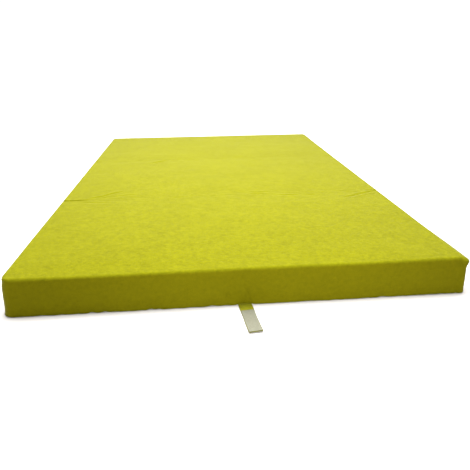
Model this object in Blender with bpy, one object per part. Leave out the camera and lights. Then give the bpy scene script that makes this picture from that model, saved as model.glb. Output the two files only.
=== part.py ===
"""Three-panel folding spa cover.

Frame: X across the cover, Y from the front panel to the rear panel, Z up.
The origin is at the middle of the underside. Metres.

Each panel is a foam core in a vapour-barrier wrap, inside a fabric skin that
is closed by a bottom sheet and a zip on a fold face. The panels are joined
along their top edges by two hinge strips, so each end panel folds up and
over the middle one. A hook-and-loop strap is sewn to each end.
"""

from math import cos, pi, radians, sin, sqrt

import bmesh
import bpy
from mathutils import Matrix, Vector

for old in list(bpy.data.objects):
    bpy.data.objects.remove(old, do_unlink=True)

# ---------------------------------------------------------------- dimensions
WIDTH = 1.250  # X, side to side
PANEL = 0.650  # Y, fold line to fold line; three of them
THICK = 0.1090  # Z, underside to top
FOLD = PANEL / 2  # distance of each fold line from the middle
END = PANEL * 1.5  # distance of each end face from the middle

CORNER_R = 0.028  # plan radius of the cover's own four corners
FOLD_CORNER_R = 0.006  # plan radius where a fold face meets a side
EDGE_R = 0.008  # radius along the top edge
FOLD_CHAMFER = 0.005  # 45 degree chamfer along the top of a fold face
GAP_TOP = 0.0015  # half of the gap between two panels, at the top
GAP_BASE = 0.0070  # the same, at the underside
CORNER_POINTS = 5

SKIN = 0.0015  # fabric with its backing
BOTTOM = 0.0015  # bottom sheet
CLEAR = 0.0003  # between pieces that touch
WRAP = 0.0005  # vapour barrier
WRAP_DEPTH = 0.0020  # skin's outer face to the wrap's outer face
CORE_DEPTH = 0.0029  # skin's outer face to the foam
WRAP_FLOOR = 0.0032  # height of the wrap's underside
CORE_FLOOR = 0.0041  # height of the foam's underside
WRAP_VENT = (0.030, 0.015)  # half sizes of the opening under the wrap

HINGE_RISE = 0.0030  # fold axis above the top face
HINGE_NECK = 0.0012  # half width of the hinge strip at its lowest
HINGE_THICK = 0.0012

CHANNEL_HALF = 0.027  # half height of the steel channel's web
CHANNEL_MID = 0.057
CHANNEL_FLANGE = 0.020
CHANNEL_THICK = 0.0007
CHANNEL_INSET = 0.012  # channel's end to the side of the cover

ZIP_HALF_LENGTH = 0.540  # chain
ZIP_TAPE_EXTRA = 0.020  # tape beyond the chain at each end
ZIP_TAPE_HALF = 0.014
ZIP_TAPE_THICK = 0.0010
ZIP_CHAIN_HALF = 0.0030
ZIP_CHAIN_THICK = 0.0020
ZIP_SLOT_HALF = 0.0035  # opening in the skin behind the chain
ZIP_SLOT_HALF_LENGTH = 0.530
SLIDER_LENGTH = 0.012
SLIDER_HALF = 0.0050
SLIDER_PLATE = 0.0012
FRONT_ZIP_Z = 0.040
MIDDLE_ZIP_Z = 0.030
REAR_ZIP_Z = 0.072

GROMMET_X = 0.450
GROMMET_BORE_R = 0.0045
GROMMET_BODY_R = 0.0072
GROMMET_FLANGE_R = 0.0110
GROMMET_HOLE_R = 0.0075
GROMMET_SIDES = 24

STRAP_WIDTH = 0.038
STRAP_REACH = 0.138  # end face of the cover to the strap's tip
STRAP_START = 0.005  # end face to where the free strap starts
STRAP_THICK = 0.0015
STRAP_ROOT_X = 0.0075
STRAP_LEAN = radians(5.4)
STRAP_TIP_R = 0.003
TAPE_WIDTH = 0.036
TAPE_START = 0.034  # end face to the near edge of the hook or loop tape
TAPE_MARGIN = 0.002  # tape's far edge to the strap's tip
TAPE_THICK = 0.0013
STRAP_AXIS_OUT = 0.0030  # strap axis in front of the end face
STRAP_AXIS_Z = 0.0016

# ----------------------------------------------------------------- materials


def material(name, colour, rough, metal=0.0):
    m = bpy.data.materials.new(name)
    m.use_nodes = True
    b = m.node_tree.nodes["Principled BSDF"]
    b.inputs["Base Color"].default_value = (*colour, 1)
    b.inputs["Roughness"].default_value = rough
    b.inputs["Metallic"].default_value = metal
    m.diffuse_color = (*colour, 1)
    return m


FABRIC = material("lime_fabric", (0.60, 0.60, 0.035), 0.92)
BASE = material("base_fabric", (0.20, 0.19, 0.02), 0.90)
FOAM = material("foam", (0.86, 0.87, 0.85), 0.85)
BARRIER = material("vapour_barrier", (0.72, 0.76, 0.80), 0.35)
STEEL = material("galvanised_steel", (0.56, 0.57, 0.58), 0.42, 1.0)
ZIP_TAPE = material("zip_tape", (0.36, 0.36, 0.04), 0.85)
ZIP_COIL = material("zip_coil", (0.42, 0.42, 0.05), 0.45)
SLIDER = material("slider_metal", (0.50, 0.50, 0.48), 0.35, 1.0)
EYELET = material("eyelet_plastic", (0.06, 0.06, 0.055), 0.45)
HOOK = material("hook_tape", (0.58, 0.58, 0.44), 0.95)

# ------------------------------------------------------------------- helpers


def empty(name, at):
    e = bpy.data.objects.new(name, None)
    e.empty_display_size = 0.05
    e.location = at
    bpy.context.scene.collection.objects.link(e)
    return e


def finish(name, bm, mat, parent, smooth=True):
    """A closed bmesh in world coordinates becomes an object under its empty."""
    bmesh.ops.recalc_face_normals(bm, faces=bm.faces)
    bmesh.ops.translate(bm, verts=bm.verts, vec=-parent.location)
    mesh = bpy.data.meshes.new(name)
    bm.to_mesh(mesh)
    bm.free()
    if smooth:
        mesh.shade_smooth()
        mesh.set_sharp_from_angle(angle=radians(35))
    o = bpy.data.objects.new(name, mesh)
    bpy.context.scene.collection.objects.link(o)
    o.parent = parent
    if mat:
        o.data.materials.append(mat)
    return o


def cutter(name, bm, parent):
    o = finish(name, bm, None, parent, smooth=False)
    o.hide_render = True
    o.display_type = "WIRE"
    return o


def cut(target, tool):
    m = target.modifiers.new("cut_" + tool.name, "BOOLEAN")
    m.operation = "DIFFERENCE"
    m.solver = "EXACT"
    m.object = tool


def loops_to_bmesh(loops, cap_first, cap_last, close=False):
    """Skins a row of loops with the same number of points."""
    bm = bmesh.new()
    rows = [[bm.verts.new(p) for p in loop] for loop in loops]
    pairs = list(zip(rows, rows[1:]))
    if close:
        pairs.append((rows[-1], rows[0]))
    for a, b in pairs:
        for i in range(len(a)):
            j = (i + 1) % len(a)
            bm.faces.new((a[i], a[j], b[j], b[i]))
    if cap_first:
        bm.faces.new(rows[0][::-1])
    if cap_last:
        bm.faces.new(rows[-1])
    return bm


def prism_x(points_yz, x0, x1):
    """A YZ polygon extruded along X."""
    return loops_to_bmesh(
        [[(x, y, z) for y, z in points_yz] for x in (x0, x1)], True, True
    )


# ------------------------------------------------------------ panel geometry


def half_gap(z):
    """Half the gap between two panels, which narrows upwards."""
    return GAP_BASE + (GAP_TOP - GAP_BASE) * z / THICK


class Panel:
    """One of the three panels: its plan, its fold faces and its outlines."""

    def __init__(self, name, low, high, free_low, free_high, parent):
        self.name, self.parent = name, parent
        self.low, self.high = low, high
        self.free_low, self.free_high = free_low, free_high

    def fold_inset(self, z, depth):
        """Inset from the fold face for a layer at this depth, with its chamfer."""
        return max(depth, z - (THICK - FOLD_CHAMFER) + depth * sqrt(2))

    def outline(self, z, depth, inset):
        """Plan outline of a layer. inset is its distance in from a free side."""
        fold = self.fold_inset(z, depth)
        y0 = self.low + (inset if self.free_low else half_gap(z) + fold)
        y1 = self.high - (inset if self.free_high else half_gap(z) + fold)
        x1 = WIDTH / 2 - inset
        r_free = max(CORNER_R - inset, 0.001)
        r_fold = max(FOLD_CORNER_R - depth, 0.001)
        r0 = r_free if self.free_low else r_fold
        r1 = r_free if self.free_high else r_fold
        points = []
        for cx, cy, r, start in (
            (x1 - r0, y0 + r0, r0, -pi / 2),
            (x1 - r1, y1 - r1, r1, 0),
            (-x1 + r1, y1 - r1, r1, pi / 2),
            (-x1 + r0, y0 + r0, r0, pi),
        ):
            for k in range(CORNER_POINTS):
                a = start + (pi / 2) * k / (CORNER_POINTS - 1)
                points.append((cx + r * cos(a), cy + r * sin(a), z))
        return points

    def wall(self, depth, floor):
        """Outlines of a layer from its floor up to its top, edge rounding included."""
        top, r = THICK - depth, EDGE_R - depth
        loops = [self.outline(floor, depth, depth)]
        for a in (0, pi / 6, pi / 3, pi / 2):
            loops.append(
                self.outline(top - r + r * sin(a), depth, depth + r * (1 - cos(a)))
            )
        return loops

    def face_y(self, side, z):
        """Y of the fold face: side +1 is the panel's rear face, -1 its front."""
        return (
            self.high - half_gap(z) if side > 0 else self.low + half_gap(z)
        )

    def on_face(self, side, points_dz):
        """(distance out from the fold face, height) to (y, z)."""
        return [(self.face_y(side, z) + side * d, z) for d, z in points_dz]


def foam_core(p, channel_sides):
    bm = loops_to_bmesh(p.wall(CORE_DEPTH, CORE_FLOOR), True, True)
    core = finish(p.name + "_foam_core", bm, FOAM, p.parent)
    for side in channel_sides:
        d0, g = CORE_DEPTH, CLEAR
        inner = d0 + 0.0001 + CHANNEL_THICK + g
        deep = d0 + CHANNEL_FLANGE + g
        lo, hi = CHANNEL_MID - CHANNEL_HALF, CHANNEL_MID + CHANNEL_HALF
        t = CHANNEL_THICK
        points = [
            (-(d0 - 0.003), lo - g),
            (-deep, lo - g),
            (-deep, lo + t + g),
            (-inner, lo + t + g),
            (-inner, hi - t - g),
            (-deep, hi - t - g),
            (-deep, hi + g),
            (-(d0 - 0.003), hi + g),
        ]
        tool = cutter(
            f"{p.name}_channel_groove_{'rear' if side > 0 else 'front'}",
            prism_x(p.on_face(side, points), -WIDTH, WIDTH),
            p.parent,
        )
        cut(core, tool)
        ring = [
            (-(d0 + 0.0001), lo),
            (-(d0 + CHANNEL_FLANGE), lo),
            (-(d0 + CHANNEL_FLANGE), lo + t),
            (-(d0 + 0.0001 + t), lo + t),
            (-(d0 + 0.0001 + t), hi - t),
            (-(d0 + CHANNEL_FLANGE), hi - t),
            (-(d0 + CHANNEL_FLANGE), hi),
            (-(d0 + 0.0001), hi),
        ]
        x = WIDTH / 2 - CHANNEL_INSET
        edge = "rear" if side > 0 else "front"
        label = (
            f"{p.name}_{edge}_edge_channel"
            if len(channel_sides) > 1
            else f"{p.name}_edge_channel"
        )
        finish(label, prism_x(p.on_face(side, ring), -x, x), STEEL, p.parent, False)


def vapour_wrap(p):
    """A thin bag around the core, open at a vent underneath."""
    mid = (p.low + p.high) / 2
    hx, hy = WRAP_VENT

    def vent(z):
        """The vent's outline, with its points facing the bag's own corners."""
        points = []
        for sx, sy in ((1, -1), (1, 1), (-1, 1), (-1, -1)):
            for k in range(CORNER_POINTS):
                a = {(1, -1): -pi / 2, (1, 1): 0, (-1, 1): pi / 2, (-1, -1): pi}[
                    sx, sy
                ] + (pi / 2) * k / (CORNER_POINTS - 1)
                r = 0.006
                points.append(
                    (
                        sx * (hx - r) + r * cos(a),
                        mid + sy * (hy - r) + r * sin(a),
                        z,
                    )
                )
        return points

    outer = p.wall(WRAP_DEPTH, WRAP_FLOOR)
    inner = p.wall(WRAP_DEPTH + WRAP, WRAP_FLOOR + WRAP)
    bm = bmesh.new()
    rows = [
        [bm.verts.new(q) for q in loop]
        for loop in [vent(WRAP_FLOOR), *outer]
    ]
    rows_in = [
        [bm.verts.new(q) for q in loop]
        for loop in [vent(WRAP_FLOOR + WRAP), *inner]
    ]
    n = len(rows[0])
    for group in (rows, rows_in):
        for a, b in zip(group, group[1:]):
            for i in range(n):
                j = (i + 1) % n
                bm.faces.new((a[i], a[j], b[j], b[i]))
        bm.faces.new(group[-1])
    for i in range(n):
        j = (i + 1) % n
        bm.faces.new((rows[0][i], rows[0][j], rows_in[0][j], rows_in[0][i]))
    finish(p.name + "_vapour_wrap", bm, BARRIER, p.parent)


def upper_skin(p, zip_side, zip_z):
    """Top and four sides in one tray, open underneath, with the zip's slot."""
    floor = BOTTOM + CLEAR
    outer = p.wall(0.0, floor)
    inner = p.wall(SKIN, floor)
    bm = loops_to_bmesh(outer[::-1] + inner, False, False)
    # The first and last loops are the two tops, one inside the other.
    bm.verts.ensure_lookup_table()
    n = len(outer[0])
    total = len(bm.verts)
    bm.faces.new([bm.verts[i] for i in range(n)])
    bm.faces.new([bm.verts[i] for i in range(total - n, total)])
    skin = finish(p.name + "_upper_skin", bm, FABRIC, p.parent)
    slot = [
        (0.001, zip_z - ZIP_SLOT_HALF),
        (-0.0024, zip_z - ZIP_SLOT_HALF),
        (-0.0024, zip_z + ZIP_SLOT_HALF),
        (0.001, zip_z + ZIP_SLOT_HALF),
    ]
    tool = cutter(
        p.name + "_zip_slot",
        prism_x(
            p.on_face(zip_side, slot), -ZIP_SLOT_HALF_LENGTH, ZIP_SLOT_HALF_LENGTH
        ),
        p.parent,
    )
    cut(skin, tool)


def cylinder(x, y, r, z0, z1):
    ring = [
        (x + r * cos(2 * pi * k / GROMMET_SIDES), y + r * sin(2 * pi * k / GROMMET_SIDES))
        for k in range(GROMMET_SIDES)
    ]
    return loops_to_bmesh([[(a, b, z) for a, b in ring] for z in (z0, z1)], True, True)


def bottom_sheet(p):
    bm = loops_to_bmesh(
        [p.outline(0.0, 0.0, 0.0), [(x, y, BOTTOM) for x, y, _ in p.outline(0.0, 0.0, 0.0)]],
        True,
        True,
    )
    sheet = finish(p.name + "_bottom_sheet", bm, BASE, p.parent)
    y = (p.low + p.high) / 2
    for side, x in (("left", -GROMMET_X), ("right", GROMMET_X)):
        tool = cutter(
            f"{p.name}_drain_hole_{side}",
            cylinder(x, y, GROMMET_HOLE_R, -0.002, 0.004),
            p.parent,
        )
        cut(sheet, tool)
        profile = [
            (GROMMET_BORE_R, 0.0002),
            (GROMMET_BODY_R, 0.0002),
            (GROMMET_BODY_R, 0.0018),
            (GROMMET_FLANGE_R, 0.0018),
            (GROMMET_FLANGE_R, 0.0026),
            (GROMMET_BORE_R, 0.0026),
        ]
        loops = [
            [
                (
                    x + r * cos(2 * pi * k / GROMMET_SIDES),
                    y + r * sin(2 * pi * k / GROMMET_SIDES),
                    z,
                )
                for k in range(GROMMET_SIDES)
            ]
            for r, z in profile
        ]
        finish(
            f"{p.name}_drain_grommet_{side}",
            loops_to_bmesh(loops, False, False, close=True),
            EYELET,
            p.parent,
        )


def zip_fastener(p, side, z, slider_parent):
    """Tape, coil chain and slider, standing on a fold face."""
    t0, t1 = CLEAR, CLEAR + ZIP_TAPE_THICK
    c0 = t1 + CLEAR
    c1 = c0 + ZIP_CHAIN_THICK
    h, ch = ZIP_TAPE_HALF, ZIP_CHAIN_HALF
    x = ZIP_HALF_LENGTH + ZIP_TAPE_EXTRA
    tape = [(t0, z - h), (t0, z + h), (t1, z + h), (t1, z - h)]
    finish(
        p.name + "_zip_tape", prism_x(p.on_face(side, tape), -x, x), ZIP_TAPE, p.parent, False
    )
    # The coil is a low bar with bevelled edges.
    b = 0.0006
    coil = [
        (c0, z - ch),
        (c1 - b, z - ch),
        (c1, z - ch + b),
        (c1, z + ch - b),
        (c1 - b, z + ch),
        (c0, z + ch),
    ]
    finish(
        p.name + "_zip_chain",
        prism_x(p.on_face(side, coil), -ZIP_HALF_LENGTH, ZIP_HALF_LENGTH),
        ZIP_COIL,
        p.parent,
        False,
    )
    # The slider is a saddle over the coil, without a pull tab.
    s = SLIDER_HALF
    i0, i1 = ch + CLEAR, c1 + CLEAR
    o1 = i1 + SLIDER_PLATE
    b = 0.0008
    saddle = [
        (c0, z - s),
        (o1 - b, z - s),
        (o1, z - s + b),
        (o1, z + s - b),
        (o1 - b, z + s),
        (c0, z + s),
        (c0, z + i0),
        (i1, z + i0),
        (i1, z - i0),
        (c0, z - i0),
    ]
    x0 = -ZIP_HALF_LENGTH + 0.004
    finish(
        p.name + "_zip_slider",
        prism_x(p.on_face(side, saddle), x0, x0 + SLIDER_LENGTH),
        SLIDER,
        slider_parent,
        False,
    )


def hinge_strip(name, y, parent):
    """A strip of fabric that lies on the two chamfers and dips between the panels."""
    top = THICK
    # The underside follows the 45 degree chamfers; the edges feather out at the top.
    edge = GAP_TOP + FOLD_CHAMFER - CLEAR * 1.5
    rise = HINGE_THICK * sqrt(2)
    inner = HINGE_NECK
    section = [
        (y - edge, top),
        (y - inner, top - edge + inner),
        (y, top - edge + inner / 2),
        (y + inner, top - edge + inner),
        (y + edge, top),
        (y + edge - rise, top),
        (y, top - edge + inner / 2 + rise),
        (y - edge + rise, top),
    ]
    x = WIDTH / 2 - EDGE_R
    finish(name, prism_x(section, -x, x), FABRIC, parent, False)


def rounded_strip(width, s0, s1, tip_r, z0, z1):
    """A flat strip along -Y from distance s0 to s1, with a rounded tip."""
    h, k = width / 2, 4
    plan = [(-h, -s0)]
    for cx, start in ((-h + tip_r, pi), (h - tip_r, 1.5 * pi)):
        for i in range(k):
            a = start + (pi / 2) * i / (k - 1)
            plan.append((cx + tip_r * cos(a), -(s1 - tip_r) + tip_r * sin(a)))
    plan.append((h, -s0))
    return loops_to_bmesh([[(x, y, z) for x, y in plan] for z in (z0, z1)], True, True)


def strap(name, tape_name, turn, parent):
    """The strap and its hook or loop tape. turn is 0 at the front, pi at the rear."""
    place = (
        Matrix.Rotation(turn, 4, "Z")
        @ Matrix.Translation((STRAP_ROOT_X, -END, 0))
        @ Matrix.Rotation(STRAP_LEAN, 4, "Z")
    )
    bm = rounded_strip(
        STRAP_WIDTH, STRAP_START, STRAP_REACH, STRAP_TIP_R, 0.0, STRAP_THICK
    )
    bmesh.ops.transform(bm, matrix=place, verts=bm.verts)
    finish(name, bm, FABRIC, parent, False)
    z0 = STRAP_THICK + CLEAR
    bm = rounded_strip(
        TAPE_WIDTH,
        TAPE_START,
        STRAP_REACH - TAPE_MARGIN,
        STRAP_TIP_R * 0.7,
        z0,
        z0 + TAPE_THICK,
    )
    bmesh.ops.transform(bm, matrix=place, verts=bm.verts)
    finish(tape_name, bm, HOOK, parent, False)


# ------------------------------------------------------------------ assembly
AXIS_Z = THICK + HINGE_RISE
root = empty("cover_root", (0, 0, 0))
front_axis = empty("front_fold_axis", (0, -FOLD, AXIS_Z))
rear_axis = empty("rear_fold_axis", (0, FOLD, AXIS_Z))
front_strap_axis = empty("front_strap_axis", (0, -END - STRAP_AXIS_OUT, STRAP_AXIS_Z))
rear_strap_axis = empty("rear_strap_axis", (0, END + STRAP_AXIS_OUT, STRAP_AXIS_Z))

front = Panel("front", -END, -FOLD, True, False, front_axis)
middle = Panel("middle", -FOLD, FOLD, False, False, root)
rear = Panel("rear", FOLD, END, False, True, rear_axis)

front_slide = empty("front_zip_axis", (-ZIP_HALF_LENGTH, front.face_y(1, FRONT_ZIP_Z), FRONT_ZIP_Z))
middle_slide = empty("middle_zip_axis", (-ZIP_HALF_LENGTH, middle.face_y(1, MIDDLE_ZIP_Z), MIDDLE_ZIP_Z))
rear_slide = empty("rear_zip_axis", (-ZIP_HALF_LENGTH, rear.face_y(-1, REAR_ZIP_Z), REAR_ZIP_Z))

for panel, channels, zip_side, zip_z, slide in (
    (front, (1,), 1, FRONT_ZIP_Z, front_slide),
    (middle, (-1, 1), 1, MIDDLE_ZIP_Z, middle_slide),
    (rear, (-1,), -1, REAR_ZIP_Z, rear_slide),
):
    foam_core(panel, channels)
    vapour_wrap(panel)
    upper_skin(panel, zip_side, zip_z)
    bottom_sheet(panel)
    zip_fastener(panel, zip_side, zip_z, slide)

hinge_strip("front_hinge_strip", -FOLD, root)
hinge_strip("rear_hinge_strip", FOLD, root)
strap("front_strap_webbing", "front_strap_hook_tape", 0.0, front_strap_axis)
strap("rear_strap_webbing", "rear_strap_loop_tape", pi, rear_strap_axis)

# The empties of pieces that belong to a folding panel hang from its axis.
for child, holder in (
    (front_strap_axis, front_axis),
    (rear_strap_axis, rear_axis),
    (front_slide, front_axis),
    (rear_slide, rear_axis),
    (middle_slide, root),
    (front_axis, root),
    (rear_axis, root),
):
    child.location = Vector(child.location) - (
        Vector(holder.location) if holder is not root else Vector((0, 0, 0))
    )
    child.parent = holder
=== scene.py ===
import math

import bmesh
import bpy
import numpy as np
from mathutils import Matrix, Vector
from mathutils.bvhtree import BVHTree


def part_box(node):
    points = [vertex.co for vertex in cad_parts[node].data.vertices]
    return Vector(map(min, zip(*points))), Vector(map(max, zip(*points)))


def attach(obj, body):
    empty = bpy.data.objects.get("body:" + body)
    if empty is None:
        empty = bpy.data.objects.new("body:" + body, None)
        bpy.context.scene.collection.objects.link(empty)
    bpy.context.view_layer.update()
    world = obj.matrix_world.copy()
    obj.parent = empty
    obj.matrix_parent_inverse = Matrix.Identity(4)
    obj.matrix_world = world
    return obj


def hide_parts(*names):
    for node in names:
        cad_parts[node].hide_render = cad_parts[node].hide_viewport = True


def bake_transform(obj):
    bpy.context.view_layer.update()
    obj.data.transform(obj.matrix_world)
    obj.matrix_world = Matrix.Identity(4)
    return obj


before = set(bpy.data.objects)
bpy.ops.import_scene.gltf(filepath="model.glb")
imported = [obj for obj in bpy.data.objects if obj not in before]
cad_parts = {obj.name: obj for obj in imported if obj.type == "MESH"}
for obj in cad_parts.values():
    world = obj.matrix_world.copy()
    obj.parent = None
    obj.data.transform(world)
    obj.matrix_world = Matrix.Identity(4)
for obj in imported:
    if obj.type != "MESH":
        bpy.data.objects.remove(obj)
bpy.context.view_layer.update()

# ------------------------------------------------------------------ the frame
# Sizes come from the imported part. Lengths are in metres.
PANELS = ("front", "middle", "rear")
BODY = {"front": "front_panel", "middle": "root", "rear": "rear_panel"}
skin_box = {p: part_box(p + "_upper_skin") for p in PANELS}
W = skin_box["front"][1].x - skin_box["front"][0].x  # 1.25
T = skin_box["front"][1].z  # top face
END = -skin_box["front"][0].y  # 0.975
FOLD = END / 3
GAP_TOP, GAP_BASE = 0.0015, 0.0070
R_FREE, R_FOLD = 0.008, 0.009  # radius along the top edge, at a side and at a fold
CORNER_R = 0.028
FOLD_R = 0.0008
SHARP_R = 0.013  # the other free corners are crisper than the front left one


# Where the straps leave the front and rear faces. The rear one is the front one turned half round.
STRAP_X, STRAP_LEAN = 0.0075, math.radians(5.4)


# --------------------------------------------------------------------- noise
def _hash(ix, iy, seed):
    h = (
        ix.astype(np.int64) * 374761393
        + iy.astype(np.int64) * 668265263
        + seed * 1442695041
    ) & 0xFFFFFFFF
    h = ((h ^ (h >> 13)) * 1274126177) & 0xFFFFFFFF
    h = h ^ (h >> 16)
    return (h & 0xFFFFFF).astype(float) / 0xFFFFFF * 2 - 1


def noise(x, y, seed=0):
    """Smooth value noise from -1 to 1, one cell per unit."""
    x, y = np.broadcast_arrays(np.asarray(x, float), np.asarray(y, float))
    ix, iy = np.floor(x), np.floor(y)
    fx, fy = x - ix, y - iy
    fx, fy = fx * fx * fx * (fx * (fx * 6 - 15) + 10), fy * fy * fy * (fy * (fy * 6 - 15) + 10)
    a, b = _hash(ix, iy, seed), _hash(ix + 1, iy, seed)
    c, d = _hash(ix, iy + 1, seed), _hash(ix + 1, iy + 1, seed)
    return (a * (1 - fx) + b * fx) * (1 - fy) + (c * (1 - fx) + d * fx) * fy


def fbm(x, y, octaves=3, seed=0):
    out, amp = 0.0, 1.0
    for k in range(octaves):
        out = out + amp * noise(x * 2**k + 17.3 * k, y * 2**k - 9.1 * k, seed + k)
        amp *= 0.5
    return out


def step(a, b, x):
    t = np.clip((np.asarray(x, float) - a) / (b - a), 0, 1)
    return t * t * (3 - 2 * t)


# -------------------------------------------------------- shape of the top
# Wrinkles in the top fabric: the points (x, y) each runs through, depth and half width.
TOP_WRINKLES = [
    # Fanning out of the first fold's left end, over the middle panel.
    ([(-0.530, -0.318), (-0.496, -0.297), (-0.468, -0.278), (-0.446, -0.256), (-0.400, -0.231)], 0.0022, 0.0060),
    ([(-0.440, -0.300), (-0.400, -0.289), (-0.345, -0.277)], 0.0011, 0.0060),
    ([(-0.560, -0.352), (-0.480, -0.372), (-0.430, -0.377)], 0.0007, 0.0070),
    # Into the first fold's right end, over the front panel.
    ([(0.455, -0.408), (0.495, -0.395), (0.536, -0.370), (0.575, -0.352), (0.612, -0.338)], 0.0024, 0.0062),
    ([(0.440, -0.300), (0.520, -0.310), (0.590, -0.318)], 0.0006, 0.0060),
    # Short pieces on either side of the first fold.
    ([(0.105, -0.303), (0.182, -0.304)], 0.0014, 0.0045),
    ([(0.212, -0.346), (0.250, -0.352), (0.292, -0.360)], 0.0014, 0.0050),
    ([(0.322, -0.361), (0.372, -0.357)], 0.0014, 0.0048),
    ([(-0.205, -0.338), (-0.140, -0.333)], 0.0007, 0.0050),
    ([(-0.060, -0.330), (0.010, -0.334)], 0.0006, 0.0050),
    # One faint diagonal that ends at the second fold.
    ([(-0.335, 0.236), (-0.298, 0.268), (-0.256, 0.304)], 0.0021, 0.0065),
]


def smooth_path(points, n):
    """A denser path through the points (Catmull-Rom)."""
    p = np.array([points[0]] + list(points) + [points[-1]], float)
    out = []
    for i in range(1, len(p) - 2):
        for t in np.linspace(0, 1, n, endpoint=False):
            a, b, c, d = p[i - 1], p[i], p[i + 1], p[i + 2]
            out.append(0.5 * (2 * b + (c - a) * t + (2 * a - 5 * b + 4 * c - d) * t * t + (3 * b - a - 3 * c + d) * t**3))
    return np.array(out + [p[-2]])


def path_dip(px, py, points, depth, width):
    """A wrinkle: a valley along a path with a soft ridge on each side, fading to its ends."""
    path = smooth_path(points, 6)
    seg = np.diff(path, axis=0)
    length = np.hypot(seg[:, 0], seg[:, 1])
    start = np.concatenate([[0], np.cumsum(length)])
    total = start[-1]
    lo, hi = path.min(0) - 6 * width, path.max(0) + 6 * width
    shape = np.shape(px)
    x, y = np.ravel(px), np.ravel(py)
    out = np.zeros_like(x)
    near = np.where((x > lo[0]) & (x < hi[0]) & (y > lo[1]) & (y < hi[1]))[0]
    if not len(near):
        return out.reshape(shape)
    x, y = x[near], y[near]
    best = np.full(len(x), 9.0)
    along = np.zeros(len(x))
    for k in range(len(seg)):
        d = seg[k] / length[k]
        t = (x - path[k, 0]) * d[0] + (y - path[k, 1]) * d[1]
        tc = np.clip(t, 0, length[k])
        dist = np.hypot(x - path[k, 0] - d[0] * tc, y - path[k, 1] - d[1] * tc)
        closer = dist < best
        best = np.where(closer, dist, best)
        along = np.where(closer, start[k] + tc, along)
    q = best / width
    fade = np.sin(np.pi * np.clip(along / total, 0, 1)) ** 0.6
    across = -np.exp(-q * q) + 0.50 * np.exp(-((q - 1.8) ** 2))
    out[near] = depth * across * fade
    return out.reshape(shape)


def segment_dip(px, py, a, b, depth, width):
    """A wrinkle: a valley with a soft ridge on each side, tapered to its ends."""
    a, b = np.array(a), np.array(b)
    d = b - a
    length = np.linalg.norm(d)
    d = d / length
    t = ((px - a[0]) * d[0] + (py - a[1]) * d[1]) / length
    off = (px - a[0]) * d[1] - (py - a[1]) * d[0]
    off = off + 0.35 * width * np.sin(t * 9.0)
    q = (off / width) ** 2
    across = -np.exp(-q) + 0.55 * np.exp(-((np.abs(off) / width - 1.9) ** 2))
    along = step(-0.12, 0.25, t) * step(1.12, 0.75, t)
    return depth * across * along


def valley(x, t, which):
    """How far the fabric dips at a fold, at distance t from the fold line."""
    if which == "front":
        patch = step(0.15, 0.9, fbm(x * 5.5, 3.1, 2, 5))
        depth = 0.0004 + 0.0009 * patch
        notch = step(-W / 2 + 0.125, -W / 2 + 0.050, x)
        end = step(-W / 2 + 0.020, -W / 2 + 0.002, x)
        right = step(W / 2 - 0.050, W / 2 - 0.004, x)
        depth = depth + 0.0046 * notch + 0.0075 * end + 0.0022 * right
        width = 0.0040 + 0.0010 * fbm(x * 9, 7.7, 2, 8) - 0.0014 * notch + 0.0012 * end
        t = t + 0.0016 * fbm(x * 7, 1.9, 2, 3) * (1 - notch) + 0.0030 * notch * (1 - end)
    else:
        depth = 0.0002 + 0.0005 * step(0.2, 0.9, fbm(x * 5, 5.3, 2, 15))
        end = step(-W / 2 + 0.030, -W / 2 + 0.003, x) + step(W / 2 - 0.030, W / 2 - 0.003, x)
        depth = depth + 0.0026 * end
        width = 0.0044 + 0.0010 * fbm(x * 9, 2.2, 2, 18)
        t = t + 0.0016 * fbm(x * 7, 8.4, 2, 13)
    return -np.maximum(depth, 0.0002) * np.exp(-((t / width) ** 2))


def top_height(x, y):
    """Height of the top fabric above T. The same surface runs over all three panels."""
    x, y = np.asarray(x, float), np.asarray(y, float)
    v = np.mod(y + END, 2 * FOLD) / FOLD - 1  # -1 to 1 across each panel
    u = x / (W / 2)
    crown = 0.0010 * (1 - np.abs(u) ** 6) * (1 - np.abs(v) ** 4)
    wave = 0.00060 * fbm(x * 3.1 + 4, y * 3.7, 3, 21)
    soft = 0.00020 * fbm(x * 15, y * 17, 2, 31)
    z = crown + wave + soft
    for points, depth, width in TOP_WRINKLES:
        z = z + path_dip(x, y, points, depth, width)
    # The front edge sinks a little to the left and right of its middle.
    sag = np.exp(-(((x + 0.36) / 0.20) ** 4)) + np.exp(-(((x - 0.32) / 0.13) ** 4))
    z = z - (0.0015 * sag - 0.0006) * step(-END + 0.10, -END + 0.008, y)
    z = z + 0.0006 * step(-END, -END + 0.09, y)
    # The wrapped core is under it, so no crease goes deeper than this.
    low = -0.0010
    return np.where(z < low, low - 0.0007 * np.tanh((low - z) / 0.0007), z)


# Wrinkles on the front face, in (x, z): the strap pulls at its sewn root.
FRONT_WRINKLES = [
    ((-0.008, 0.100), (0.022, 0.010), 0.0022, 0.0046),
    ((-0.034, 0.058), (-0.018, 0.028), 0.0025, 0.0042),
    ((-0.050, 0.044), (-0.026, 0.010), 0.0028, 0.0038),
    ((0.050, 0.044), (0.030, 0.012), 0.0018, 0.0042),
    ((-0.300, 0.030), (-0.292, 0.006), 0.0008, 0.0045),
    ((-0.372, 0.036), (-0.366, 0.006), 0.0009, 0.0045),
    ((0.596, 0.030), (0.612, 0.006), 0.0012, 0.0050),
]


# Where the seam along the front is drawn in by its stitching: x, how much, half width.
PUCKERS = [(-0.402, 1.0, 0.0085), (-0.368, 0.9, 0.0090), (-0.246, 1.0, 0.0095), (-0.226, 0.6, 0.0070), (-0.082, 0.9, 0.0130), (-0.045, 0.6, 0.0100), (0.395, 0.5, 0.0110), (-0.530, 0.4, 0.0120), (0.180, 0.35, 0.0140)]


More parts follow.
